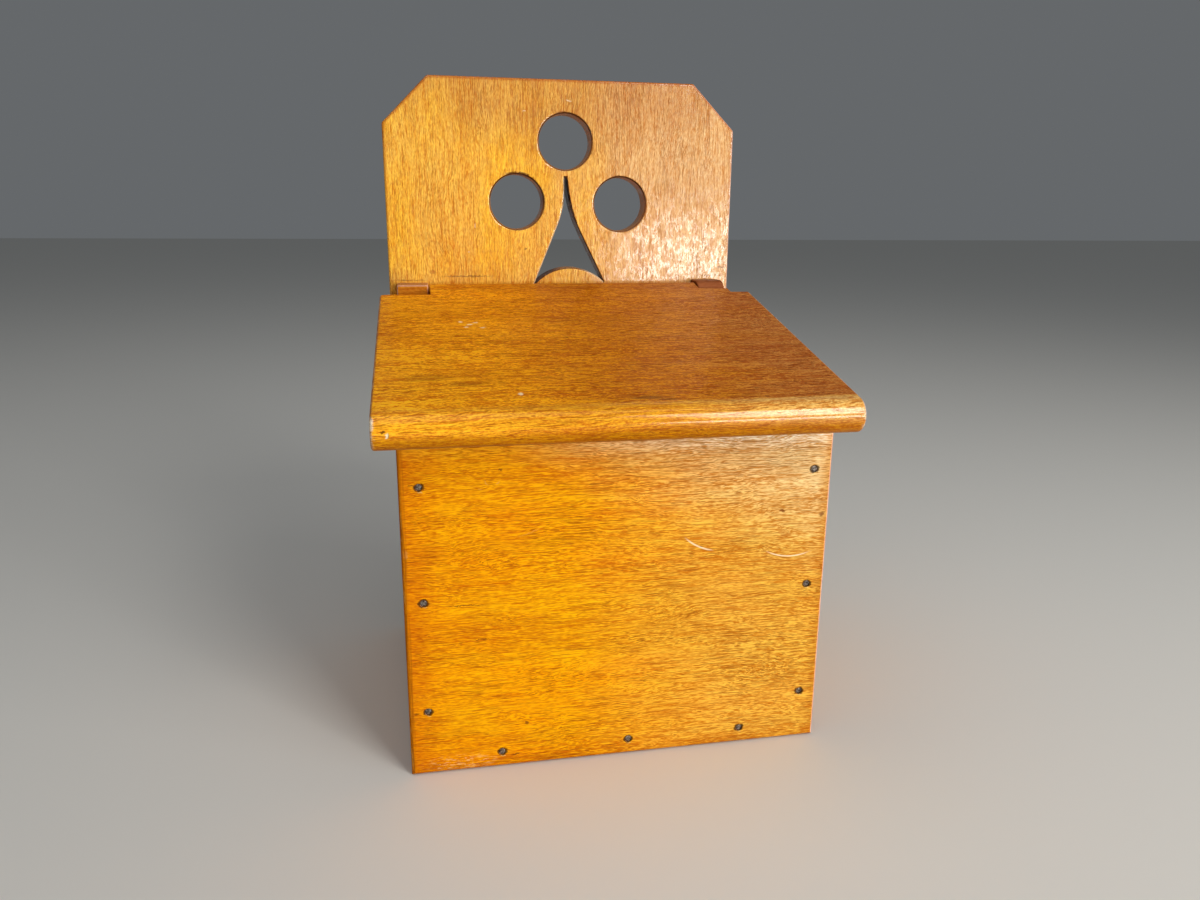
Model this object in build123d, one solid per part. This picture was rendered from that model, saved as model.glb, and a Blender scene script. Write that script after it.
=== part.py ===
from build123d import *
from math import cos, hypot, radians, sin, tan
import os

# Wall-hung wooden salt box with a sloping hinged lid, a tall backboard and a
# club-shaped cut-out.  Millimetres.  X runs to the right, Y to the wall, Z up.
# The origin is on the underside, on the backboard's centre line and halfway
# from the front face to the wall face.

# ---- driving dimensions: the case ----
box_width = 160.0              # over the two sides
box_depth = 131.5              # front face to wall face
front_height = 134.7           # front panel, at its front face
front_thickness = 12.7
side_thickness = 12.7
bottom_thickness = 12.7
back_thickness = 10.0
front_shift = 3.3              # front panel to the right of the backboard, as on a racked case
front_edge_round = 1.3         # eased outer edges of the front panel
back_edge_round = 1.0

# ---- driving dimensions: the lid ----
lid_slope = 12.5               # degrees, down towards the front
lid_thickness = 12.7
lid_side_overhang = 3.6        # past each side of the case
nose_reach = 23.5              # rounded front edge, past the front face
lid_edge_round = 1.0
seat_gap = 0.1                 # lid's underside to the rim, closed
left_notch_spare = 5.5         # lid's notch past the sweep of its hinge block
right_notch_spare = 0.5
left_ear_round = 2.2           # rear corner of the lid outside the notch, in plan
right_ear_round = 1.0

# ---- driving dimensions: the hinge ----
knuckle_gap = 0.5              # rounded rear edge of the lid to the backboard
hinge_side_gap = 0.8           # tongue of the lid to each block
left_block_inset = 3.5         # side of the case to the block
right_block_inset = 5.4
left_block_width = 13.7
right_block_width = 12.9
block_depth = 13.0
left_block_rise = 6.5          # pin axis to the top of the block
right_block_rise = 7.4
left_block_round = 1.0         # upper front edge of the block
right_block_round = 6.0
block_edge_round = 0.8
pin_diameter = 2.8
pin_bite = 20.0                # length of pin inside the lid
pin_clearance = 0.06           # radial, between pin and lid
pin_bore_spare = 1.0           # depth of lid bore past the pin's end

# ---- driving dimensions: the backboard ----
crest_height = 95.3            # pin axis to the top of the backboard
corner_cut = 20.0              # 45 degree upper corners
corner_round = 2.0
club_hole_diameter = 24.0
club_hole_round = 1.2          # front edge of each round hole
top_hole = (0.7, 68.9)         # (across, above the pin axis)
left_hole = (-21.6, 42.5)
right_hole = (26.3, 41.8)
stem_tip = (0.8, 53.6)
stem_tip_width = 1.0
stem_round = 0.8               # front edge of the stem
stem_left_shoulder = (-3.0, 32.0)
stem_right_shoulder = (7.1, 30.0)
stem_left_foot = (-14.1, 5.4)
stem_right_foot = (18.8, 6.6)
stem_arch_top = (2.8, 13.0)

# ---- driving dimensions: the nails ----
nail_head_diameter = 2.6
nail_head_thickness = 0.9
nail_shank_diameter = 1.8
nail_point_length = 2.4
nail_tip_diameter = 0.4
board_nail_length = 32.0
block_nail_bite = 9.0          # length of nail inside the block
front_nail_inset = 7.0         # side of the case to the nail
left_low_nail = 26.0           # height of the lowest nail
right_low_nail = 20.3
top_nail_drop = 21.9           # front rim down to the highest nail
bottom_nail_left_inset = 34.0
bottom_nail_right_inset = 31.6
bottom_nail_middle = 3.1       # off the front panel's centre line
back_nail_low = 30.0
back_nail_drop = 22.0          # rear end of the rim down to the highest nail
back_bottom_nail_inset = 45.0
side_nail_front_inset = 42.0   # front face to the nail
side_nail_back_inset = 40.0    # wall face to the nail
block_nail_spacing = 6.4
block_nail_lift = 4.0          # pin axis to the nail

# ---- derived places ----
half_width = box_width / 2
front_y = -box_depth / 2
wall_y = box_depth / 2
panel_back_y = front_y + front_thickness
back_y = wall_y - back_thickness
slope_rise = tan(radians(lid_slope))
slope_cos = cos(radians(lid_slope))
lid_half = lid_thickness / 2
pin_y = back_y - lid_half - knuckle_gap
side_length = back_y - panel_back_y
inner_half_width = half_width - side_thickness


def rim_height(y):
    """Height of the sloping rim of the case at depth y."""
    return front_height + (y - front_y) * slope_rise


def racked(x, y):
    """Place on a side of the case at depth y, given where it meets the backboard."""
    return (x + front_shift * (back_y - y) / side_length, y)


pin_z = rim_height(pin_y) + (lid_half + seat_gap) / slope_cos
back_height = pin_z + crest_height
nose_y = front_y - nose_reach + lid_half
lid_length = (pin_y - nose_y) / slope_cos
lid_half_width = half_width + lid_side_overhang
bottom_nail_z = bottom_thickness / 2
block_nail_length = back_thickness + block_nail_bite


def block_faces(side):
    """Centre line to the inner and the outer face of a hinge block."""
    if side < 0:
        inset, width = left_block_inset, left_block_width
    else:
        inset, width = right_block_inset, right_block_width
    return half_width - inset - width, half_width - inset


def notch_reach(rise, upper_round, spare):
    """Pin axis to the lid's notch, along the lid, so that the lid swings clear of the block."""
    ahead = block_depth - lid_half - knuckle_gap
    upper_edge = hypot(ahead - upper_round, rise - upper_round) + upper_round
    foot_drop = pin_z - rim_height(pin_y - ahead)
    lower_edge = ahead * slope_cos + foot_drop * sin(radians(lid_slope))
    return max(upper_edge, lower_edge) + spare


left_notch_reach = notch_reach(left_block_rise, left_block_round, left_notch_spare)
right_notch_reach = notch_reach(right_block_rise, right_block_round, right_notch_spare)
ear_reach = max(left_notch_reach, right_notch_reach)


def slab(x_low, x_high, outline):
    """Board whose outline is drawn in the Y-Z plane."""
    face = make_face(Polyline(*outline, close=True))
    across = Plane(origin=(x_low, 0, 0), x_dir=(0, 1, 0), z_dir=(1, 0, 0))
    return extrude(across * face, amount=x_high - x_low)


def plan_block(x_low, x_high, height):
    """Upright block between the front panel and the backboard, racked in plan."""
    corners = [
        racked(x_low, panel_back_y),
        racked(x_high, panel_back_y),
        racked(x_high, back_y),
        racked(x_low, back_y),
    ]
    return extrude(make_face(Polyline(*corners, close=True)), amount=height)


def nail(length):
    """Flat-headed nail along +Z, with the top of its head at the origin."""
    on_end = (Align.CENTER, Align.CENTER, Align.MIN)
    shank_radius = nail_shank_diameter / 2
    shank_length = length - nail_head_thickness - nail_point_length
    head = Cylinder(nail_head_diameter / 2, nail_head_thickness, align=on_end)
    shank = Cylinder(shank_radius, shank_length, align=on_end)
    point = Cone(shank_radius, nail_tip_diameter / 2, nail_point_length, align=on_end)
    shank_z = nail_head_thickness
    return head + Pos(0, 0, shank_z) * shank + Pos(0, 0, shank_z + shank_length) * point


def nails_along(direction, places, length):
    """One nail at each place, driven in the given direction."""
    return [Plane(origin=place, z_dir=direction) * nail(length) for place in places]


def spread(low, high):
    """The lower place, the one halfway and the upper place."""
    return (low, (low + high) / 2, high)


# ---- nails: driven from the front, from behind, through the sides ----
to_wall = (0, 1, 0)
to_front = (0, -1, 0)
to_right = (side_length, front_shift, 0)
to_left = (-side_length, -front_shift, 0)

front_nail_top = front_height - top_nail_drop
back_nail_top = rim_height(back_y) - back_nail_drop
front_nail_x = half_width - front_nail_inset
back_nail_x = half_width - side_thickness / 2
back_bottom_x = half_width - back_bottom_nail_inset

front_bottom_xs = (
    front_shift - half_width + bottom_nail_left_inset,
    front_shift + bottom_nail_middle,
    front_shift + half_width - bottom_nail_right_inset,
)
side_nail_ys = (front_y + side_nail_front_inset, wall_y - side_nail_back_inset)
block_nail_z = pin_z + block_nail_lift


def block_nail_places(side):
    middle = side * sum(block_faces(side)) / 2
    return [(middle + step * block_nail_spacing / 2, wall_y, block_nail_z) for step in (-1, 1)]


nail_groups = {
    "front_left_nails": nails_along(
        to_wall,
        [(front_shift - front_nail_x, front_y, z) for z in spread(left_low_nail, front_nail_top)],
        board_nail_length,
    ),
    "front_right_nails": nails_along(
        to_wall,
        [(front_shift + front_nail_x, front_y, z) for z in spread(right_low_nail, front_nail_top)],
        board_nail_length,
    ),
    "front_bottom_nails": nails_along(
        to_wall,
        [(x, front_y, bottom_nail_z) for x in front_bottom_xs],
        board_nail_length,
    ),
    "back_left_nails": nails_along(
        to_front,
        [(-back_nail_x, wall_y, z) for z in spread(back_nail_low, back_nail_top)],
        board_nail_length,
    ),
    "back_right_nails": nails_along(
        to_front,
        [(back_nail_x, wall_y, z) for z in spread(back_nail_low, back_nail_top)],
        board_nail_length,
    ),
    "back_bottom_nails": nails_along(
        to_front,
        [(x, wall_y, bottom_nail_z) for x in (-back_bottom_x, back_bottom_x)],
        board_nail_length,
    ),
    "left_bottom_nails": nails_along(
        to_right,
        [(*racked(-half_width, y), bottom_nail_z) for y in side_nail_ys],
        board_nail_length,
    ),
    "right_bottom_nails": nails_along(
        to_left,
        [(*racked(half_width, y), bottom_nail_z) for y in side_nail_ys],
        board_nail_length,
    ),
    "left_block_nails": nails_along(to_front, block_nail_places(-1), block_nail_length),
    "right_block_nails": nails_along(to_front, block_nail_places(1), block_nail_length),
}


def without_nails(board, *group_names):
    """The board with the holes that its nails fill."""
    for group_name in group_names:
        board = board - nail_groups[group_name]
    return board


def make_front_panel():
    outline = [
        (front_y, 0),
        (panel_back_y, 0),
        (panel_back_y, rim_height(panel_back_y)),
        (front_y, rim_height(front_y)),
    ]
    panel = slab(front_shift - half_width, front_shift + half_width, outline)
    front_face = panel.faces().sort_by(Axis.Y)[0]
    eased = front_face.edges().sort_by(Axis.Z)[:-1]
    panel = fillet(eased, front_edge_round)
    return without_nails(panel, "front_left_nails", "front_right_nails", "front_bottom_nails")


def make_side(side):
    under_rim = [
        (panel_back_y, 0),
        (back_y, 0),
        (back_y, rim_height(back_y)),
        (panel_back_y, rim_height(panel_back_y)),
    ]
    x_low, x_high = sorted((side * half_width, side * inner_half_width))
    panel = plan_block(x_low, x_high, rim_height(back_y)) & slab(-box_width, box_width, under_rim)
    word = "left" if side < 0 else "right"
    return without_nails(panel, f"front_{word}_nails", f"back_{word}_nails", f"{word}_bottom_nails")


def make_bottom_board():
    board = plan_block(-inner_half_width, inner_half_width, bottom_thickness)
    return without_nails(
        board,
        "front_bottom_nails",
        "back_bottom_nails",
        "left_bottom_nails",
        "right_bottom_nails",
    )


def above_pin(place):
    """A place on the backboard, given across and above the pin axis."""
    return (place[0], pin_z + place[1])


def stem_flank(foot, shoulder, side):
    """Straight from the foot to the shoulder, then curving to the blunt tip."""
    lower = Line(above_pin(foot), above_pin(shoulder))
    tip = above_pin((stem_tip[0] + side * stem_tip_width / 2, stem_tip[1]))
    return [lower, TangentArc(lower @ 1, tip, tangent=lower % 1)]


def make_club():
    """Three round holes and a flared stem with an arched foot."""
    openings = [
        Pos(*above_pin(place)) * Circle(club_hole_diameter / 2)
        for place in (top_hole, left_hole, right_hole)
    ]
    left_flank = stem_flank(stem_left_foot, stem_left_shoulder, -1)
    right_flank = stem_flank(stem_right_foot, stem_right_shoulder, 1)
    arch = ThreePointArc(left_flank[0] @ 0, above_pin(stem_arch_top), right_flank[0] @ 0)
    tip = Line(left_flank[1] @ 1, right_flank[1] @ 1)
    openings.append(make_face([arch, *left_flank, *right_flank, tip]))
    return openings


def opening_rims(board):
    """Front rims of the openings in a board, the longest last."""
    front_face = board.faces().sort_by(Axis.Y)[0]
    return front_face.inner_wires().sort_by(SortBy.LENGTH)


def make_backboard():
    outline = make_face(
        Polyline(
            (-half_width, 0),
            (half_width, 0),
            (half_width, back_height - corner_cut),
            (half_width - corner_cut, back_height),
            (-half_width + corner_cut, back_height),
            (-half_width, back_height - corner_cut),
            close=True,
        )
    )
    crest = outline.vertices().group_by(Axis.Y)[1:]
    outline = fillet([vertex for row in crest for vertex in row], corner_round)
    # drawn on the front face of the backboard, looking at it from the front
    front = Plane(origin=(0, back_y, 0), x_dir=(1, 0, 0), z_dir=(0, -1, 0))
    board = extrude(front * outline, amount=-back_thickness)
    front_face = board.faces().sort_by(Axis.Y)[0]
    board = fillet(front_face.edges().sort_by(Axis.Z)[1:], back_edge_round)
    for opening in make_club():
        board -= extrude(front * opening, amount=-back_thickness)
    stem_rim = opening_rims(board)[-1]
    board = fillet(stem_rim.edges(), stem_round)
    round_rims = opening_rims(board)[:-1]
    board = fillet([edge for rim in round_rims for edge in rim.edges()], club_hole_round)
    return without_nails(
        board,
        "back_left_nails",
        "back_right_nails",
        "back_bottom_nails",
        "left_block_nails",
        "right_block_nails",
    )


def make_hinge_block(side, rise, upper_round):
    """Block on the rim, fixed to the backboard, that holds one hinge pin."""
    block_front_y = back_y - block_depth
    top_z = pin_z + rise
    outline = [
        (back_y, rim_height(back_y)),
        (back_y, top_z),
        (block_front_y, top_z),
        (block_front_y, rim_height(block_front_y)),
    ]
    x_low, x_high = sorted(side * face for face in block_faces(side))
    block = slab(x_low, x_high, outline)
    top_face = block.faces().sort_by(Axis.Z)[-1]
    upper_front = top_face.edges().filter_by(Axis.X).sort_by(Axis.Y)[0]
    block = fillet(upper_front, upper_round)
    top_face = block.faces().sort_by(Axis.Z)[-1]
    block = fillet(top_face.edges().filter_by(Axis.Y), block_edge_round)
    word = "left" if side < 0 else "right"
    return without_nails(block, f"{word}_block_nails") - make_hinge_pin(side)


def make_hinge_pin(side):
    """Plain wire pin, flush with the outer face of its block."""
    inner_x, outer_x = block_faces(side)
    pin_length = outer_x - inner_x + hinge_side_gap + pin_bite
    middle_x = side * (outer_x - pin_length / 2)
    return Pos(middle_x, pin_y, pin_z) * Rot(0, 90, 0) * Cylinder(pin_diameter / 2, pin_length)


def ear_waste(side, corner_radius):
    """What rounding the rear corner of one of the lid's ears takes off."""
    square = Box(corner_radius, corner_radius, 2 * lid_thickness)
    kept = Pos(-side * corner_radius / 2, -corner_radius / 2) * Cylinder(corner_radius, 2 * lid_thickness)
    corner_x = side * (lid_half_width - corner_radius / 2)
    return Pos(corner_x, -ear_reach - corner_radius / 2) * (square - kept)


def make_lid():
    """Board with a fully rounded front and rear edge and notched rear corners."""
    # drawn level, with the pin axis at the origin and the front towards -Y
    lid_plane = Plane(origin=(-lid_half_width, 0, 0), x_dir=(0, 1, 0), z_dir=(1, 0, 0))
    profile = Pos(-lid_length / 2, 0) * SlotCenterToCenter(lid_length, lid_thickness)
    lid = extrude(lid_plane * profile, amount=2 * lid_half_width)
    end_loops = lid.faces().sort_by(Axis.X)[0].edges() + lid.faces().sort_by(Axis.X)[-1].edges()
    lid = fillet(end_loops, lid_edge_round)
    behind = lid_thickness
    for side, inner_reach in ((-1, left_notch_reach), (1, right_notch_reach)):
        block_inner_x, block_outer_x = block_faces(side)
        tongue_x = block_inner_x - hinge_side_gap
        for x_inner, reach in ((tongue_x, inner_reach), (block_outer_x, ear_reach)):
            notch_width = lid_half_width + behind - x_inner
            notch = Box(notch_width, reach + behind, 2 * lid_thickness)
            middle_x = side * (x_inner + notch_width / 2)
            lid -= Pos(middle_x, (behind - reach) / 2, 0) * notch
        bore_depth = pin_bite + pin_bore_spare
        bore = Cylinder(pin_diameter / 2 + pin_clearance, bore_depth)
        lid -= Pos(side * (tongue_x - bore_depth / 2), 0, 0) * Rot(0, 90, 0) * bore
    lid -= [ear_waste(-1, left_ear_round), ear_waste(1, right_ear_round)]
    return Pos(0, pin_y, pin_z) * Rot(lid_slope, 0, 0) * lid


nodes = {
    "backboard": make_backboard(),
    "front_panel": make_front_panel(),
    "left_side": make_side(-1),
    "right_side": make_side(1),
    "bottom_board": make_bottom_board(),
    "lid": make_lid(),
    "left_hinge_block": make_hinge_block(-1, left_block_rise, left_block_round),
    "right_hinge_block": make_hinge_block(1, right_block_rise, right_block_round),
    "left_hinge_pin": make_hinge_pin(-1),
    "right_hinge_pin": make_hinge_pin(1),
}
for group_name, group in nail_groups.items():
    nodes[group_name] = Compound(children=group)

os.makedirs("parts", exist_ok=True)
for node_name, shape in nodes.items():
    export_step(shape, f"parts/{node_name}.step")
print(f"pin axis y {pin_y:.2f} z {pin_z:.2f}, backboard {back_height:.1f} high, lid {lid_length:.1f} long")
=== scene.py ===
from math import pi, radians

import bmesh
import bpy
from mathutils import Euler, Matrix, Vector


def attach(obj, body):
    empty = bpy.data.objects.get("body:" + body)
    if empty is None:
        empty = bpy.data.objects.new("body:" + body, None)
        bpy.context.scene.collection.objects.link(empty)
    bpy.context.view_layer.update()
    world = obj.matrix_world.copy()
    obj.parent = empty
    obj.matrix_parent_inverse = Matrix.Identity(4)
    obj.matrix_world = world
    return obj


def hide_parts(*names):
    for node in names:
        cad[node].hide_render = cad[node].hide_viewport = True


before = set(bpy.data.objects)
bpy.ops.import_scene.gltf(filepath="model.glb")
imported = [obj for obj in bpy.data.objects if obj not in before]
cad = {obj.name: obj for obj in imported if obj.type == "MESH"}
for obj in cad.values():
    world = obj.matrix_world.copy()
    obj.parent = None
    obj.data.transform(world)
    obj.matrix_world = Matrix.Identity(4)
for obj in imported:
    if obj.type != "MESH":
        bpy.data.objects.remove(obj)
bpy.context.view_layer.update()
scene = bpy.context.scene
bpy.ops.object.select_all(action="DESELECT")

MM = 1000  # millimetres in a metre: materials count in millimetres, meshes in metres


def paint(code):
    """Six hex digits of a colour, as the linear numbers that a socket takes."""
    shares = [int(code[place:place + 2], 16) / 255 for place in (0, 2, 4)]
    linear = [s / 12.92 if s <= 0.04045 else ((s + 0.055) / 1.055) ** 2.4 for s in shares]
    return (*linear, 1)


# ---- the camera: in front of the box, a little to its left, looking down on the lid ----

CAMERA_PLACE = (-0.06585, -0.37388, 0.20659)
TO_RIGHT, DOWN, ROLL = 0.1925, 0.2585, 0.0086
SENSOR_WIDTH, LENS, NEAREST = 36, 27.39, 0.01
turn = Euler((pi / 2 - DOWN, 0, -TO_RIGHT)).to_matrix() @ Matrix.Rotation(ROLL, 3, "Z")
bpy.ops.object.camera_add(location=CAMERA_PLACE, rotation=turn.to_euler())
camera = bpy.context.object
camera.name = "camera"
camera.data.sensor_width = SENSOR_WIDTH
camera.data.lens = LENS
camera.data.clip_start = NEAREST
scene.camera = camera


# ---- soft studio light: a low window that glints in the varnish, and three broader lamps ----

scene.view_settings.view_transform = "Standard"

SKY_TINT, SKY_STRENGTH = "e3e9ee", 0.17
world = bpy.data.worlds.new("studio")
world.use_nodes = True
sky = world.node_tree.nodes["Background"].inputs
sky["Color"].default_value = paint(SKY_TINT)
sky["Strength"].default_value = SKY_STRENGTH
scene.world = world

# how widely a lamp fans out, in degrees
WIDE, NARROW = 180, 110


def softbox(name, location, aim, width, height, power, tint, spread=WIDE):
    """A rectangular lamp that faces a point."""
    facing = (Vector(location) - Vector(aim)).to_track_quat("Z", "Y").to_euler()
    bpy.ops.object.light_add(type="AREA", location=location, rotation=facing)
    lamp = bpy.context.object
    lamp.name = name
    lamp.data.shape = "RECTANGLE"
    lamp.data.size = width
    lamp.data.size_y = height
    lamp.data.energy = power
    lamp.data.spread = radians(spread)
    lamp.data.color = paint(tint)[:3]


softbox(
    "window", (0.5, -1.0, 0.115), (0.03, 0, 0.14),
    width=0.5, height=0.15, power=0.89, tint="fffaf2", spread=NARROW,
)
softbox(
    "daylight", (1.15, -1.0, 0.3), (0, 0, 0.12),
    width=0.8, height=0.5, power=3.6, tint="fffdf8", spread=NARROW,
)
softbox(
    "key", (0.52, -0.95, 0.75), (0, 0, 0.12),
    width=0.4, height=0.7, power=6.6, tint="fffdf8",
)
softbox(
    "overhead", (-0.3, -0.3, 1.3), (0, 0, 0.1),
    width=1.2, height=1.2, power=3.4, tint="ffffff",
)


# ---- materials: shader maths as expressions, in millimetres on the piece itself ----

# the sockets of a Mix node that is set to colours
SHARE, FIRST_COLOUR, SECOND_COLOUR, MIXED_COLOUR = 0, 6, 7, 2


class Wire:
    """A node's output, with arithmetic that adds Math nodes."""

    def __init__(self, finish, socket):
        self.finish = finish
        self.socket = socket

    def math(self, operation, *values):
        return self.finish.node("ShaderNodeMath", {"operation": operation}, dict(enumerate(values)))

    def __add__(self, other):
        return self.math("ADD", self, other)

    def __sub__(self, other):
        return self.math("SUBTRACT", self, other)

    def __rsub__(self, other):
        return self.math("SUBTRACT", other, self)

    def __mul__(self, other):
        return self.math("MULTIPLY", self, other)

    def __truediv__(self, other):
        return self.math("DIVIDE", self, other)

    def __pow__(self, other):
        return self.math("POWER", self, other)

    def __abs__(self):
        return self.math("ABSOLUTE", self)

    def or_more(self, other):
        """The larger of two masks or measures."""
        return self.math("MAXIMUM", self, other)

    __radd__ = __add__
    __rmul__ = __mul__


class Finish:
    """One material and the nodes that make it."""

    def __init__(self, name):
        self.material = bpy.data.materials.new(name)
        self.material.use_nodes = True
        self.tree = self.material.node_tree
        self.shader = self.tree.nodes["Principled BSDF"]
        self.place = self.vector_math(
            "SCALE", self.node("ShaderNodeTexCoord", {}, {}, "Object"), Scale=MM
        )

    def node(self, kind, settings, sockets, output=0):
        """Adds a node and gives one of its outputs, or all of them where output is None."""
        node = self.tree.nodes.new(kind)
        for name, setting in settings.items():
            setattr(node, name, setting)
        self.feed(node, sockets)
        if output is None:
            return [Wire(self, socket) for socket in node.outputs]
        return Wire(self, node.outputs[output])

    def feed(self, node, sockets):
        for name, value in sockets.items():
            if isinstance(value, Wire):
                self.tree.links.new(value.socket, node.inputs[name])
            else:
                node.inputs[name].default_value = value

    def vector_math(self, operation, first, second=None, output=0, **named):
        sockets = {0: first, **named}
        if second is not None:
            sockets[1] = second
        return self.node("ShaderNodeVectorMath", {"operation": operation}, sockets, output)

    def parts(self, vector):
        return self.node("ShaderNodeSeparateXYZ", {}, {0: vector}, None)

    def vector(self, x, y, z):
        return self.node("ShaderNodeCombineXYZ", {}, {0: x, 1: y, 2: z})

    def noise(self, place, size, detail, roughness=0.5, *, shift):
        """Soft lumps of about the given size in millimetres, from 0 to 1 and mostly near a half."""
        fitted = self.node(
            "ShaderNodeMapping",
            {},
            {"Vector": place, "Location": (shift, shift, shift), "Scale": [1 / s for s in size]},
        )
        return self.node(
            "ShaderNodeTexNoise",
            {},
            {"Vector": fitted, "Scale": 1, "Detail": detail, "Roughness": roughness},
        )

    def rise(self, value, low, high):
        """0 at low, 1 at high and smooth between; low may be the larger."""
        settings = {"interpolation_type": "SMOOTHSTEP"}
        return self.node("ShaderNodeMapRange", settings, {"Value": value, 1: low, 2: high})

    def between(self, value, low, full, fading, high):
        """1 from full to fading, and 0 at low and at high."""
        return self.rise(value, low, full) * self.rise(value, high, fading)

    def mix(self, share, first, second):
        """The first colour, and the second where share is 1."""
        settings = {"data_type": "RGBA", "clamp_factor": True}
        sockets = {SHARE: share, FIRST_COLOUR: first, SECOND_COLOUR: second}
        return self.node("ShaderNodeMix", settings, sockets, MIXED_COLOUR)

    def bump(self, height, depth):
        return self.node("ShaderNodeBump", {}, {"Height": height, "Distance": depth / MM})

    def shade(self, **sockets):
        self.feed(self.shader, {name.replace("_", " "): v for name, v in sockets.items()})


# the grain's darkest and lightest tones and its pores, as shares of the colour they are laid over
DEEP, LIGHT, PORE = (0.76, 0.52, 0.2, 1), (1.22, 1.5, 1.9, 1), (0.56, 0.38, 0.2, 1)
# how far it wanders, in millimetres, over the board's length and in small curls
DRIFT, CURLS = 10, 3.2


class Timber(Finish):
    """A varnished board. Grain, pores and figure are solid, so faces, edges and ends agree."""

    def __init__(
        self, name, grain, tones, pith, shift, curl=1.0, stroke=(0.7, 0.9, 0.9), lay=None
    ):
        """
        grain names the axes along, across and through the board, and pith is the tree's middle in
        the last two. stroke stretches the fibres, and lay is the pivot and slope of a tilted board.
        """
        super().__init__(name)
        facing = self.node("ShaderNodeTexCoord", {}, {}, "Normal")
        if lay:
            pivot, slope = lay
            settings = {"vector_type": "TEXTURE"}
            turned = {"Rotation": (slope, 0, 0)}
            self.place = self.node(
                "ShaderNodeMapping", settings, {"Vector": self.place, "Location": pivot, **turned}
            )
            facing = self.node("ShaderNodeMapping", settings, {"Vector": facing, **turned})
        self.x, self.y, self.z = self.parts(self.place)
        self.nx, self.ny, self.nz = self.parts(facing)
        by_axis = {"x": self.x, "y": self.y, "z": self.z}
        facing_by_axis = {"x": self.nx, "y": self.ny, "z": self.nz}
        along, across, through = [by_axis[axis] for axis in grain]
        self.end = self.rise(abs(facing_by_axis[grain[0]]), 0.55, 0.9)

        # the grain wanders along the board, and the tree's rings run round its pith
        wood = self.vector(along, across, through)
        drift = self.noise(wood, (85, 30, 30), 1, shift=shift)
        curls = self.noise(wood, (26, 8, 8), 2, 0.5, shift=shift + 3)
        wander = (drift - 0.5) * DRIFT + (curls - 0.5) * (CURLS * curl)
        side = across + wander
        ring = ((side - pith[0]) ** 2 + (through - pith[1]) ** 2) ** 0.5
        solid = self.vector(along, side, through + wander)

        # its figure, from the broadest to the finest
        rings = self.vector(along, ring, 0)
        self.bands = self.noise(rings, (220, 3.4, 1), 2, 0.55, shift=shift + 5)
        self.streaks = self.noise(solid, (34, 1.5, 1.5), 2, 0.6, shift=shift + 7)
        length, width, thickness = stroke
        self.strands = self.vector(along / length, side / width, (through + wander) / thickness)
        self.fibre = self.noise(self.strands, (12, 0.55, 0.55), 2, 0.6, shift=shift + 9)
        self.flecks = self.noise(self.strands, (2.2, 0.5, 0.5), 1, shift=shift + 10)
        fine = self.noise(self.strands, (7, 0.42, 0.42), 1, shift=shift + 13)
        coarse = self.noise(self.strands, (19, 0.55, 0.55), 1, shift=shift + 17)
        crowded = self.rise(self.noise(wood, (30, 7, 7), 2, 0.6, shift=shift + 19), 0.35, 0.65)
        self.pores = self.rise(fine, 0.57, 0.7).or_more(self.rise(coarse, 0.58, 0.7))
        self.pores = self.pores * (0.35 + crowded * 0.65)

        # its two broad tones, in clouds
        clouds = self.noise(wood, (60, 26, 26), 2, shift=shift + 11)
        self.colour = self.mix(self.rise(clouds, 0.34, 0.66), *[paint(code) for code in tones])

        # relief and varnish, and a torn copy of each place for the edges of marks
        swell = self.noise(self.place, (30, 30, 30), 1, shift=shift + 23)
        self.height = swell * 2 + self.streaks * 0.4 + self.fibre * 0.9 - self.pores * 0.7
        self.rough = 0.33 + self.pores * 0.2 + (self.streaks - 0.5) * 0.2 + self.end * 0.2
        self.coat = (1 - self.end * 0.4) * (1 - self.pores * 0.7)
        tear = self.node(
            "ShaderNodeTexNoise", {}, {"Vector": self.place, "Scale": 0.8, "Detail": 2}, "Color"
        )
        tear = self.vector_math("SUBTRACT", tear, (0.5, 0.5, 0.5))
        tear = self.vector_math("SCALE", tear, Scale=1.6)
        self.torn_place = self.vector_math("ADD", self.place, tear)

    def wavy(self, size, detail, reach, shift):
        """An uneven offset, up to about half of reach each way, for the edges of broad colours."""
        return (self.noise(self.place, size, detail, 0.6, shift=shift) - 0.5) * reach

    def weave(self, contrast=1.0, figure=0.8):
        """Lays the grain over the board's broad colours, each tone as a share of what is there."""
        tone = (self.bands - 0.5) * figure + (self.streaks - 0.5)
        tone = (tone + (self.fibre - 0.5) * 2.6 + (self.flecks - 0.5) * 2.0) * contrast
        shares = self.mix(tone * 0.6 + 0.5, DEEP, LIGHT)
        shares = self.mix(self.pores * contrast * 0.6, shares, PORE)
        shares = self.mix(self.end * 0.4, shares, PORE)
        self.colour = self.vector_math("MULTIPLY", self.colour, shares)

    def stain(self, mask, code, share):
        """Lays a share of a colour over what the mask covers."""
        self.colour = self.mix(mask * share, self.colour, paint(code))

    def dull(self, mask, rough):
        """Bare or rubbed wood, where the varnish has gone."""
        self.rough = self.rough + mask * (rough - self.rough)
        self.coat = self.coat * (1 - mask)

    def dent(self, mask, depth):
        self.height = self.height - mask * depth

    def salted(self, mask):
        """The bare inside of the box, bleached and crusted by damp salt towards its floor."""
        self.stain(mask, "b98a52", 0.7)
        self.dull(mask, 0.75)
        crust = self.broken((9, 9, 14), 0.42, 0.68, 27) * self.rise(self.z, 95, 15)
        self.stain(mask * crust, "e2d6c2", 0.45)
        self.height = self.height + mask * crust * self.broken((1.1, 1.1, 1.1), 0.4, 0.6, 29) * 0.8

    def broken(self, size, low, high, shift):
        """A mask of torn patches of about the given size."""
        return self.rise(self.noise(self.place, size, 2, 0.7, shift=shift), low, high)

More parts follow.
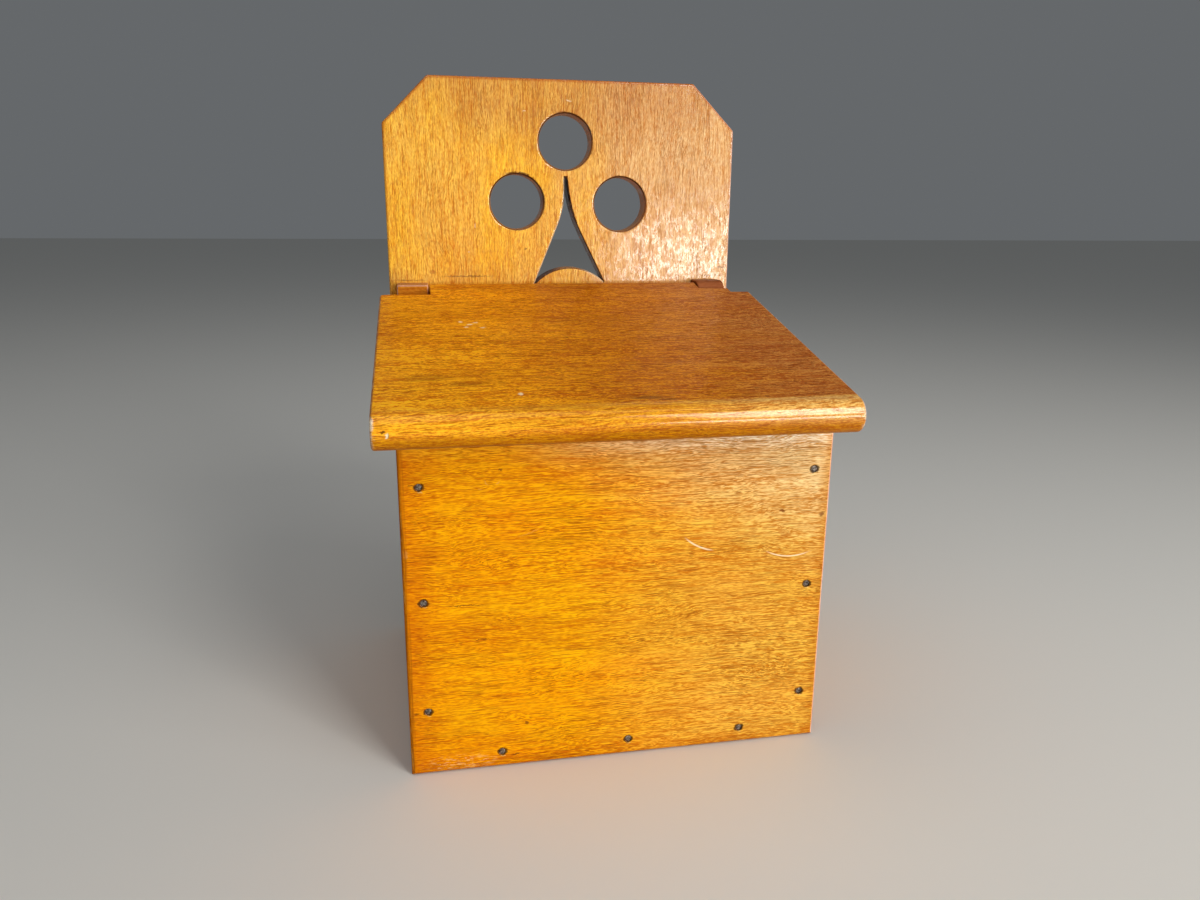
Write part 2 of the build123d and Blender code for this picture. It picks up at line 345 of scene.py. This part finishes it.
    def patch(self, centre, half_size, tilt=(0, 0, 0), soft=0.6):
        """1 in an oval round a centre, fading to 0 at its ragged edge."""
        oval = self.node(
            "ShaderNodeMapping",
            {"vector_type": "TEXTURE"},
            {
                "Vector": self.torn_place,
                "Location": centre,
                "Rotation": [radians(angle) for angle in tilt],
                "Scale": half_size,
            },
        )
        return self.rise(self.vector_math("LENGTH", oval, output=1), 1, 1 - soft)

    def patches(self, ovals):
        """All of several ovals in one mask."""
        whole = self.patch(*ovals[0])
        for oval in ovals[1:]:
            whole = whole.or_more(self.patch(*oval))
        return whole

    def arc(self, centre, radius, half_width, window):
        """Part of a circle that is drawn on an upright face and shows only inside an oval."""
        away = self.vector_math("SUBTRACT", self.place, centre)
        away = self.vector_math("MULTIPLY", away, (1, 0, 1))
        away = self.vector_math("LENGTH", away, output=1)
        return self.rise(abs(away - radius), half_width, half_width * 0.4) * self.patch(*window)

    def make(self, coat=0.03, specular=0.05, gloss=0.2, index=1.45, depth=0.12):
        self.shade(
            Base_Color=self.colour,
            Roughness=self.rough,
            Specular_IOR_Level=specular,
            Coat_Weight=self.coat * coat if coat else 0,
            Coat_Roughness=gloss,
            Coat_IOR=index,
            Normal=self.bump(self.height, depth),
        )
        return self.material


# ---- the finish of each board. Places are in millimetres, and colours in hex digits ----

PANEL_FRONT, PANEL_LEFT, PANEL_RIGHT = -65.75, -76.7, 83.3
BACK_FRONT, BACK_TOP, BACK_HALF_WIDTH = 55.75, 262.02, 80
# a cut corner lies where x and z add up to this, and a step across it is this share of theirs
CUT_CORNER, ACROSS = 322.02, 0.707
HOLE_RADIUS, STEM_MIDDLE = 12.7, 1.7
# the lid's own places start at its pivot and lie along its slope
LID_PIVOT, LID_SLOPE = (0, 48.9, 166.72), radians(12.5)
LID_TOP, LID_END, NOSE, FRONT_CORNER = 6.35, 83.6, -141.3, 152.1
MARK_DEPTH, SCRATCH_RADIUS = 3, 20.9
# x and z of each head in the front panel
FRONT_NAILS = (
    (-69.7, 112.8), (-69.7, 69.4), (-69.7, 26.0), (76.3, 112.8), (76.3, 66.55), (76.3, 20.3),
    (-42.7, 6.35), (6.4, 6.35), (51.7, 6.35),
)


def marks_on(face):
    """A function that places an oval mark on the upright face at this y."""

    def on_face(x, z, half_width, half_height, turn=0):
        return ((x, face, z), (half_width, MARK_DEPTH, half_height), (0, turn, 0))

    return on_face


def front_finish():
    wood = Timber(
        "front_panel_wood",
        "xzy",
        ("f29800", "ee9e02"),
        pith=(30, 20),
        shift=2,
        curl=1.2,
        stroke=(1.0, 0.62, 0.62),
    )
    on_face = marks_on(PANEL_FRONT)

    # redder towards the left edge, a painted sheen that pales it towards the right and upper right,
    # darker at the right and foot
    wavy = wood.wavy((22, 22, 9), 3, 22, 31)
    wood.stain(wood.rise(wood.x + wavy, PANEL_LEFT + 15, PANEL_LEFT + 1), "dc7600", 0.7)
    # painted sheen: paler towards the right
    wood.stain(wood.rise(wood.x + wavy, -20, 60), "dcae50", 0.45)
    upright = wood.rise(wood.nz, 0.8, 0.3)
    # painted sheen: paler still towards the upper right
    wood.stain(wood.rise(wood.z + wood.x * 0.5 + wavy, 100, 162) * upright, "e4c89c", 0.5)
    # painted light just under the nose to offset its shadow, with a paler painted sheen towards the
    # right
    wood.stain(wood.rise(wood.z, 119, 129) * upright, "fcb020", 0.5)
    wood.stain(wood.rise(wood.z, 119, 130) * wood.rise(wood.x, -40, 60) * upright, "fff0d4", 0.85)
    # a thin painted shadow of the nose right under it, with some grime
    wood.stain(wood.rise(wood.z, 131, 133) * wood.rise(wood.x, 50, -20) * upright, "8a6414", 0.5)
    wood.stain(wood.rise(wood.x + wavy * 0.25, PANEL_RIGHT - 6, PANEL_RIGHT - 1), "d08420", 0.6)
    wood.stain(wood.rise(wood.z + wavy * 0.2, 5, 0.5), "cc7400", 0.5)
    wood.weave(1.5 + wood.rise(wood.x, -70, 60) * 0.5)
    checks = wood.rise(wood.noise(wood.strands, (32, 0.55, 0.55), 1, shift=23), 0.63, 0.72)
    wood.stain(checks * (0.35 + wood.rise(wood.x, -60, 20) * 0.65), "965410", 0.55)

    # nails: crushed, darker wood round each, and a pale chip below it
    rings = wood.patches([on_face(x, z, 2.3, 1.9) + (0.3,) for x, z in FRONT_NAILS])
    chips = wood.patches([on_face(x + 0.3, z - 1.7, 1.1, 0.4, 8) for x, z in FRONT_NAILS])
    wood.stain(chips, "f8c878", 0.6)
    wood.stain(rings, "341a0a", 0.85)
    wood.dent(rings, 1.2)

    # knocks, curved scratches, nicks and a scuffed foot
    dark = wood.patches([
        on_face(-72.2, 113.4, 1.6, 0.3), on_face(-74.2, 25.4, 1.5, 0.5, -10),
        on_face(64.4, 96.9, 1.5, 0.6, 20), on_face(80.6, 94.8, 1.2, 1.6, 30),
        on_face(-33.1, 17.5, 0.9, 0.8), on_face(-41.2, 118.0, 1.1, 0.5),
        on_face(-37.5, 4.6, 2.4, 0.5, -8),
        on_face(-55, 67.5, 9, 0.3, 1), on_face(-49, 53.5, 4, 0.3, 1), on_face(12, 31, 2.6, 0.25, 3),
    ])
    wood.stain(dark, "74340c", 0.75)
    wood.dent(dark, 0.5)
    wood.stain(wood.patch(*on_face(66, 87.6, 3.2, 1.8, 20)), "b4600c", 0.45)
    left_window = on_face(32, 84.9, 7.2, 5.0, 28)
    right_window = on_face(67.2, 79, 11.5, 4.0)
    scratches = wood.arc((41.3, PANEL_FRONT, 103.4), SCRATCH_RADIUS, 0.42, left_window)
    scratches = scratches.or_more(
        wood.arc((69, PANEL_FRONT, 99.4), SCRATCH_RADIUS, 0.34, right_window)
    )
    nicks = wood.patches([
        on_face(-46.4, 113.5, 1.3, 0.3, 60), on_face(-42.2, 113.3, 1.2, 0.35, -50),
        on_face(-48.5, 111.2, 0.9, 0.25, 20), on_face(-31, 94.2, 6, 0.16, -20),
        on_face(-75.2, 88.2, 0.9, 2.2, 5),
    ])
    wood.stain(scratches, "ffe8c0", 0.85)
    wood.stain(nicks, "f0b060", 0.5)
    wood.dull(scratches.or_more(nicks), 0.55)
    scuffed = wood.patch(*on_face(-58, 3.4, 17, 4.2))
    worn = wood.broken((2.6, 2.2, 0.8), 0.5, 0.62, 37)
    wood.stain(scuffed * worn, "f8d08c", 0.45)

    # rounded edges: rubbed brown on the left, a painted pale pink highlight on the right, dry
    # behind
    leftward = wood.rise(wood.nx, -0.3, -0.7)
    rightward = wood.between(wood.nx, 0.25, 0.6, 0.8, 0.97)
    strip = wood.rise(wood.x, PANEL_LEFT + 2.4, PANEL_LEFT + 1.2)
    wood.stain(strip, "cc7400", 0.7)
    wood.stain(strip * wood.broken((0.8, 0.8, 26), 0.48, 0.6, 38), "8a4404", 0.6)
    wood.stain(leftward * wood.broken((1.4, 1.4, 10), 0.56, 0.66, 39), "e8b050", 0.5)
    wood.dull(leftward, 0.75)
    # painted highlight: pale pink on the rounded edge that faces right
    wood.stain(rightward, "e8a890", 0.85)
    wood.stain(rightward * wood.broken((1.2, 1.2, 8), 0.5, 0.62, 40), "f0c8b4", 0.7)
    wood.salted(wood.rise(wood.ny, 0.5, 0.9))
    return wood.make()


def backboard_finish():
    wood = Timber("backboard_wood", "zxy", ("fcb62e", "f8b642"), pith=(-30, 20), shift=41)
    on_face = marks_on(BACK_FRONT)

    # a redder, paler painted sheen to the right, browner above and along the foot
    wavy = wood.wavy((18, 18, 60), 2, 44, 33)
    # painted sheen: redder and paler to the right
    wood.stain(wood.rise(wood.x + wavy, -15, 45), "e0aa74", 0.8)
    upper = wood.rise(wood.z + wavy * 0.5 - abs(wood.x) * 0.36, 213, 243)
    wood.stain(upper, "c88440", 0.6)
    wood.stain(wood.rise(wood.z + wavy * 0.12, 182, 173), "d89440", 0.3)
    wood.weave(1.15, 1.1)

    # worn outer edges: outline counts millimetres beyond the board, cut corners and all
    outline = abs(wood.x) - BACK_HALF_WIDTH
    outline = outline.or_more(wood.z - BACK_TOP)
    outline = outline.or_more((abs(wood.x) + wood.z - CUT_CORNER) * ACROSS)
    inside = wood.rise(outline, -1.5, -3)
    upward = wood.rise(wood.z, 200, 250)
    wood.stain(wood.rise(outline, -1.7, -0.5) * (0.25 + upward * 0.45), "b4580c", 1)
    # painted highlight: pale pink on the rounded outer edges that face right
    arris = wood.between(wood.nx, 0.3, 0.7, 0.8, 0.97)
    wood.stain(arris * (1 - inside), "e8c4b8", 0.7)

    # the club: painted shade on the rounded rims, darkest along their upper part, sawn walls
    # painted paler to offset their shade, a stem with a painted highlight on its left flank and
    # painted shade on its right, and a burn at the left hole
    eased = wood.rise(abs(wood.ny), 0.985, 0.85) * inside
    # painted shade on the rounded rims
    wood.stain(eased, "6a3012", 0.85)
    # painted shade, darker still, along the upper part of each rim
    upper_rim = eased * wood.rise(wood.nz, -0.02, -0.2) * wood.rise(wood.z, 205, 210)
    wood.stain(upper_rim, "2c1408", 0.75)
    # sawn walls painted paler to offset the shade they lie in
    sawn = wood.rise(abs(wood.ny), 0.6, 0.2) * inside
    wood.stain(sawn, "d89a5c", 0.75)
    stem = wood.rise(abs(wood.x - STEM_MIDDLE), 13, 9).or_more(wood.rise(wood.z, 197, 193))
    stem = stem * wood.rise(wood.z, 221, 218)
    # painted highlight on the stem's left flank and painted shade on its right
    wood.stain(eased * stem * wood.rise(wood.nx, 0.1, 0.4), "f4d0a0", 0.8)
    wood.stain(eased * stem * wood.rise(wood.nx, -0.1, -0.4), "3c1c0a", 0.85)
    tip = wood.rise(wood.z, 206, 212) * stem * (1 - wood.rise(abs(wood.ny), 0.985, 0.995))
    wood.stain(tip, "241008", 0.85)
    charred = wood.broken((1.6, 1.6, 1.2), 0.36, 0.54, 35)
    window = on_face(-19.6, 221, 9.5, 4.6, 12)
    burn = wood.arc((-21.6, BACK_FRONT, 209.2), HOLE_RADIUS, 0.9, window)
    wood.stain(burn * charred, "4a2410", 0.8)

    # dark marks, thin dark lines just above the lid, pale specks, a dull back, a bare inside and
    # varnish that has gone in patches
    dark_marks = wood.patches([
        on_face(-71, 174.4, 9.5, 0.35), on_face(76.4, 179.8, 3, 0.5), on_face(72, 176, 8, 0.35),
        on_face(68.5, 195.3, 0.5, 1.3), on_face(69.7, 190.6, 0.7, 1.0),
        on_face(76, 183.1, 0.8, 0.8), on_face(-17.7, 188.3, 0.8, 0.9), on_face(-45, 176, 14, 0.5),
    ])
    wood.stain(dark_marks, "7a4a20", 0.6)
    wood.stain(wood.patch(*on_face(-60.3, 178, 1.8, 1.4)), "b0682c", 0.5)
    specks = wood.patches([
        on_face(2.4, 253, 1.6, 0.5, 10), on_face(-17.8, 248.2, 1.0, 0.4),
        on_face(-40.8, 198.9, 0.4, 1.2), on_face(-43.8, 186.9, 0.7, 0.5),
    ])
    wood.stain(specks, "fbe3bc", 0.7)
    rear = wood.rise(wood.ny, 0.5, 0.9)
    wood.stain(rear, "9a6a3a", 0.6)
    wood.dull(rear, 0.65)
    between_sides = wood.rise(abs(wood.x), 67.6, 66.6) * wood.rise(wood.z, 158, 152)
    wood.salted(between_sides * (1 - rear))
    clear = wood.broken((3, 3, 4), 0.38, 0.6, 47) * wood.broken((0.9, 0.9, 3), 0.4, 0.56, 49)
    wood.coat = wood.coat * (0.15 + clear * 0.85)
    return wood.make(coat=1.0, specular=0.12, gloss=0.14, index=1.9, depth=0.16)


def lid_finish():
    wood = Timber(
        "lid_wood",
        "xyz",
        ("fca010", "ec9008"),
        pith=(-60, -18),
        shift=57,
        curl=1.2,
        stroke=(0.5, 0.95, 0.72),
        lay=(LID_PIVOT, LID_SLOPE),
    )

    def on_top(x, y, half_length, half_width, turn=0):
        return ((x, y, LID_TOP), (half_length, half_width, MARK_DEPTH), (0, 0, turn))

    # golden on the left, going brown and then, as a painted reflection of the wall, rosy to the
    # right
    wavy = wood.wavy((40, 14, 14), 3, 70, 61)
    wood.stain(wood.rise(wood.x + wavy, -50, 20), "c87004", 0.85)
    # painted reflection of the wall: rosy over the right part
    wood.stain(wood.rise(wood.x + wavy, 10, 85), "bc7030", 0.8)
    wood.stain(wood.rise(wood.y, -14, -2), "a86018", 0.3)
    wood.stain(wood.rise(wood.y, -60, -120) * wood.rise(wood.x, -25, -70), "ffae1c", 0.4)

    # the rounded nose: golden above with a paler painted sheen to the right, and painted shade on
    # its lower part
    nose = wood.rise(wood.y, -131.5, -134.5)
    upper_nose = nose * wood.rise(wood.z, -0.5, 3.5)
    wood.stain(upper_nose, "fcaa1c", 0.85)
    wood.stain(upper_nose * wood.rise(wood.x, -65, -20), "dc8c10", 0.6)
    # painted sheen on the upper right of the nose
    wood.stain(upper_nose * wood.rise(wood.x, 10, 70), "f4bc68", 0.65)
    # painted shade: the nose's lower, downward-facing part darker and browner
    wood.stain(nose * wood.rise(wood.z, 2, -2), "c07400", 0.85)
    wood.weave(3.1 - nose * 1.4, 1.0)

    # grime, clouded patches and pale rubs
    grime = wood.patches([
        on_top(-10.6, -69.8, 0.9, 0.7), on_top(8, -129.6, 8, 1.8), on_top(15, -131.4, 5, 1.1),
        on_top(48.7, -124.4, 1.2, 0.8, 30), on_top(49.9, -131.4, 0.9, 0.7),
    ])
    wood.stain(grime, "6a3208", 0.6)
    clouded = wood.patches([on_top(-66, -108, 12, 4, 3), on_top(-52, -114, 9, 3, -3)])
    wood.stain(clouded, "8a4c08", 0.35)
    rubs = wood.patches([
        on_top(-51, -50.4, 1.1, 1.0), on_top(-47.5, -53.5, 1.8, 0.9, 20),
        on_top(-45, -51.5, 1.3, 0.8), on_top(-42.5, -57.6, 1.6, 0.9, 10),
        on_top(-49, -56.6, 1.2, 0.8), on_top(-34.4, -123.6, 1.2, 1.6),
    ])
    wood.stain(rubs, "ffe4b8", 0.95)

    # end grain and its rounded edges, worn pale at the two front corners, with a painted pink
    # highlight along the right end's upper edge and a painted highlight at the nose's left corner
    ends = wood.rise(abs(wood.x), LID_END - 1.1, LID_END - 0.3)
    wood.stain(ends, "b06c34", 0.45)
    arris = wood.between(abs(wood.nx), 0.25, 0.6, 0.85, 0.98)
    wood.stain(arris, "c07848", 0.5)
    wood.stain(arris * wood.broken((1.5, 7, 1.5), 0.5, 0.62, 62), "f4cca4", 0.6)
    # painted highlight: pale pink along the upper rounded edge at the right end
    wood.stain(arris * wood.rise(wood.x, 70, 80) * wood.rise(wood.nz, 0, 0.3), "f8dcc8", 0.8)
    # painted highlight at the nose's left corner
    wood.stain(wood.patch((-83.2, -138, 3.6), (1.4, 3.8, 2.8)), "fff2d8", 0.9)
    wood.stain(ends * wood.broken((2, 30, 1.1), 0.56, 0.66, 64), "7c3c10", 0.4)
    corner = wood.rise(abs(wood.x) - wood.y * 0.5, FRONT_CORNER, FRONT_CORNER + 2.5)
    corner = corner * wood.rise(abs(wood.x), LID_END - 2.4, LID_END - 0.6)
    wood.stain(corner * wood.broken((1.6, 1.6, 1.6), 0.4, 0.55, 63), "f6dcb4", 0.8)

    # a chip in the nose, with a dark notch beside it
    on_nose = marks_on(NOSE + 1)
    chip = wood.patch(*on_nose(-78.3, 1.2, 0.7, 1.5, 20))
    wood.stain(wood.patch(*on_nose(-79.6, 2.2, 0.9, 0.7)), "5a2c08", 0.85)
    wood.stain(chip, "fcecc0", 0.9)
    wood.dent(chip, 1.5)

    # a dull underside, and thin varnish that still shines on the nose
    under = wood.rise(wood.nz, -0.5, -0.9)
    wood.stain(under, "a8783e", 0.6)
    wood.dull(under, 0.6)
    glossy = nose * wood.rise(wood.z, -2, 3) * (0.36 + wood.rise(wood.x, -20, 60) * 0.58)
    wood.coat = wood.coat * (0.08 + glossy)
    return wood.make(coat=1.0, specular=0.05, gloss=0.13, index=1.6, depth=0.16)


def side_finish():
    wood = Timber("side_wood", "yzx", ("e08c10", "e69616"), pith=(40, 130), shift=71)
    wavy = wood.wavy((20, 20, 12), 3, 20, 73)
    wood.stain(wood.rise(wood.y + wavy, -30, -52), "d27c14", 0.5)
    wood.stain(wood.rise(wood.z + wavy * 0.3, 7, 1), "b8690c", 0.6)
    wood.weave(1.3)
    rubs = wood.broken((26, 22, 3), 0.6, 0.72, 75) * wood.broken((2.5, 2.5, 0.8), 0.45, 0.6, 77)
    wood.stain(rubs, "f0bc70", 0.45)
    wood.dull(rubs, 0.55)
    grime = wood.rise(wood.z + wood.y * 0.22 + wavy * 0.15, 147, 152)
    wood.stain(grime, "8a5010", 0.45)
    wood.salted(wood.rise(abs(wood.x), 68.4, 67.6))
    return wood.make()


def bottom_finish():
    wood = Timber("bottom_wood", "xyz", ("cc9850", "c08a44"), pith=(10, 50), shift=83)
    wood.weave()
    wood.salted(wood.rise(wood.nz, 0.5, 0.9))
    under = wood.rise(wood.nz, -0.5, -0.9)
    wood.stain(under * wood.broken((30, 22, 22), 0.45, 0.65, 85), "7c5a38", 0.4)
    wood.stain(under * wood.broken((14, 1.2, 1.2), 0.6, 0.7, 87), "e0c090", 0.4)
    wood.dull(under, 0.7)
    return wood.make(coat=0)


def block_finish():
    wood = Timber("block_wood", "xyz", ("cc7c1c", "c8761a"), pith=(10, 120), shift=97)
    # painted shade and a painted rosy reflection of the wall: the right block darker and redder
    wood.stain(wood.rise(wood.x, -5, 5), "7d3e22", 0.9)
    wood.weave()
    rounded = wood.rise(abs(wood.ny).or_more(abs(wood.nz)).or_more(abs(wood.nx)), 0.98, 0.8)
    left = wood.rise(wood.x, 5, -5)
    # painted reflection of the wall: pinkish on the left block's top
    wood.stain(wood.rise(wood.nz, 0.9, 0.98) * left, "bc8464", 0.6)
    # painted highlights: pinkish on the rounded edges, paler on the left block
    wood.stain(rounded, "a8643e", 0.5)
    wood.stain(rounded * left, "e0b094", 0.7)
    return wood.make()


def steel_finish(name, bright, dark, rust, rough):
    """Dull steel with spots of rust."""
    steel = Finish(name)
    cloud = steel.noise(steel.place, (0.9, 0.9, 0.9), 3, 0.65, shift=5)
    spots = steel.rise(steel.noise(steel.place, (0.5, 0.5, 0.5), 2, 0.6, shift=9), 0.5, 0.64)
    colour = steel.mix(steel.rise(cloud, 0.35, 0.65), paint(dark), paint(bright))
    steel.shade(
        Base_Color=steel.mix(spots * 0.8, colour, paint(rust)),
        Metallic=(1 - spots) * 0.6,
        Roughness=rough + spots * 0.35,
        Normal=steel.bump(cloud, 0.03),
    )
    return steel.material


def cover(material, *nodes):
    for node in nodes:
        for slot in cad[node].material_slots:
            slot.material = material


cover(front_finish(), "front_panel")
cover(backboard_finish(), "backboard")
cover(lid_finish(), "lid")
cover(side_finish(), "left_side", "right_side")
cover(bottom_finish(), "bottom_board")
cover(block_finish(), "left_hinge_block", "right_hinge_block")
pin_steel = steel_finish("pin_steel", "a9a49c", "6c655d", "5a3a24", rough=0.35)
cover(pin_steel, "left_hinge_pin", "right_hinge_pin")
nail_steel = steel_finish("nail_steel", "968d82", "332b25", "4a2a18", rough=0.4)


# ---- nails: dished heads driven just under the surface, in metres ----

HEAD_SIDES, HEAD_RADIUS, HEAD_DEPTH = 20, 0.00122, 0.0007
SHANK_RADIUS, POINT_LENGTH = 0.0008, 0.0021
POINT_SHARE = 0.25  # the width of the point's tip beside the shank's
# steps from the head's rim to its middle, each inwards and up
DISH = ((0.0003, 0.00016), (0.00035, 0.00004), (0.00025, -0.00007))
SHALLOWEST, DEEPER, SHORTENED = 0.00026, 0.00006, 0.0005
# corners this near one another are one corner, or lie at the same end of a nail
SAME_CORNER, SAME_END = 0.000001, 0.0003
LEVEL, SMOOTH_BELOW = 0.9, 50


def pick(test):
    """In edit mode, selects the faces whose normal passes a test."""
    mesh = bmesh.from_edit_mesh(bpy.context.object.data)
    for face in mesh.faces:
        face.select_set(test(face.normal))
    bmesh.update_edit_mesh(bpy.context.object.data)


def make_nail(length):
    """One wire nail along -Z: a domed head with a hammered dish, a shank and a point."""
    bpy.ops.mesh.primitive_cylinder_add(
        vertices=HEAD_SIDES, radius=HEAD_RADIUS, depth=HEAD_DEPTH, location=(0, 0, -HEAD_DEPTH / 2)
    )
    nail = bpy.context.object
    bpy.ops.object.transform_apply(location=True)
    bpy.ops.object.mode_set(mode="EDIT")
    bpy.ops.mesh.select_mode(type="FACE")
    pick(lambda normal: normal.z > LEVEL)
    for inward, lift in DISH:
        bpy.ops.mesh.inset(thickness=inward)
        bpy.ops.transform.translate(value=(0, 0, lift))
    pick(lambda normal: normal.z < -LEVEL)
    bpy.ops.mesh.inset(thickness=HEAD_RADIUS - SHANK_RADIUS)
    shank_length = length - HEAD_DEPTH - POINT_LENGTH
    for drop, narrowing in ((shank_length, 1), (POINT_LENGTH, POINT_SHARE)):
        bpy.ops.mesh.extrude_region_move(TRANSFORM_OT_translate={"value": (0, 0, -drop)})
        bpy.ops.transform.resize(value=(narrowing, narrowing, 1))
    bpy.ops.object.mode_set(mode="OBJECT")
    bpy.ops.object.shade_smooth_by_angle(angle=radians(SMOOTH_BELOW))
    nail.data.materials.append(nail_steel)
    return nail


def far_end(corners, start):
    """The middle of whichever end of a nail lies farther from a point."""
    reach = max((corner - start).length for corner in corners)
    rim = [corner for corner in corners if (corner - start).length > reach - SAME_END]
    return sum(rim, Vector()) / len(rim)


def nail_places(group):
    """Each nail's head, way out of the wood and length, from the loose parts of its CAD group."""
    bpy.ops.object.select_all(action="DESELECT")
    copy = cad[group].copy()
    copy.data = copy.data.copy()
    scene.collection.objects.link(copy)
    copy.select_set(True)
    bpy.context.view_layer.objects.active = copy
    bpy.ops.object.mode_set(mode="EDIT")
    bpy.ops.mesh.select_all(action="SELECT")
    bpy.ops.mesh.remove_doubles(threshold=SAME_CORNER)
    bpy.ops.mesh.separate(type="LOOSE")
    bpy.ops.object.mode_set(mode="OBJECT")

    # a head lies farther out from the middle of the box than its point
    places = []
    for part in list(bpy.context.selected_objects):
        corners = [vertex.co.copy() for vertex in part.data.vertices]
        outermost = max(corners, key=lambda corner: corner.xy.length)
        tip = far_end(corners, outermost)
        head = far_end(corners, tip)
        places.append((head, (head - tip).normalized(), round((head - tip).length, 4)))
        bpy.data.objects.remove(part)
    return sorted(places, key=lambda place: tuple(place[0]))


# every nail leans its own way and is driven to one of three depths
patterns = {}
driven = 0
for group in [name for name in cad if name.endswith("_nails")]:
    copies = []
    for head, outward, length in nail_places(group):
        if length not in patterns:
            patterns[length] = make_nail(length - SHORTENED)
        copy = patterns[length].copy()
        copy.data = copy.data.copy()
        scene.collection.objects.link(copy)
        nod, sway, spin = 4 * (driven % 3 - 1), 3 * (driven % 4 - 1.5), driven * 1.3
        lean = Euler((radians(nod), radians(sway), spin))
        aim = outward.to_track_quat("Z", "Y").to_matrix() @ lean.to_matrix()
        sunk = SHALLOWEST + DEEPER * (driven % 3)
        copy.data.transform(Matrix.Translation(head - outward * sunk) @ aim.to_4x4())
        copies.append(copy)
        driven += 1
    bpy.ops.object.select_all(action="DESELECT")
    for copy in copies:
        copy.select_set(True)
    bpy.context.view_layer.objects.active = copies[0]
    bpy.ops.object.join()
    piece = bpy.context.object
    piece.name = group + "_driven"
    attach(piece, "case")
    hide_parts(group)
for pattern in patterns.values():
    bpy.data.objects.remove(pattern)


# ---- the floor ----

FLOOR_SIZE, FLOOR_HEIGHT = 12, -0.0005
bpy.ops.mesh.primitive_plane_add(size=FLOOR_SIZE, location=(0, 0, FLOOR_HEIGHT))
floor = bpy.context.object
floor.name = "floor"
ground = Finish("floor_paper")
ground.shade(Base_Color=paint("e6e4df"), Roughness=0.9, Specular_IOR_Level=0)
floor.data.materials.append(ground.material)
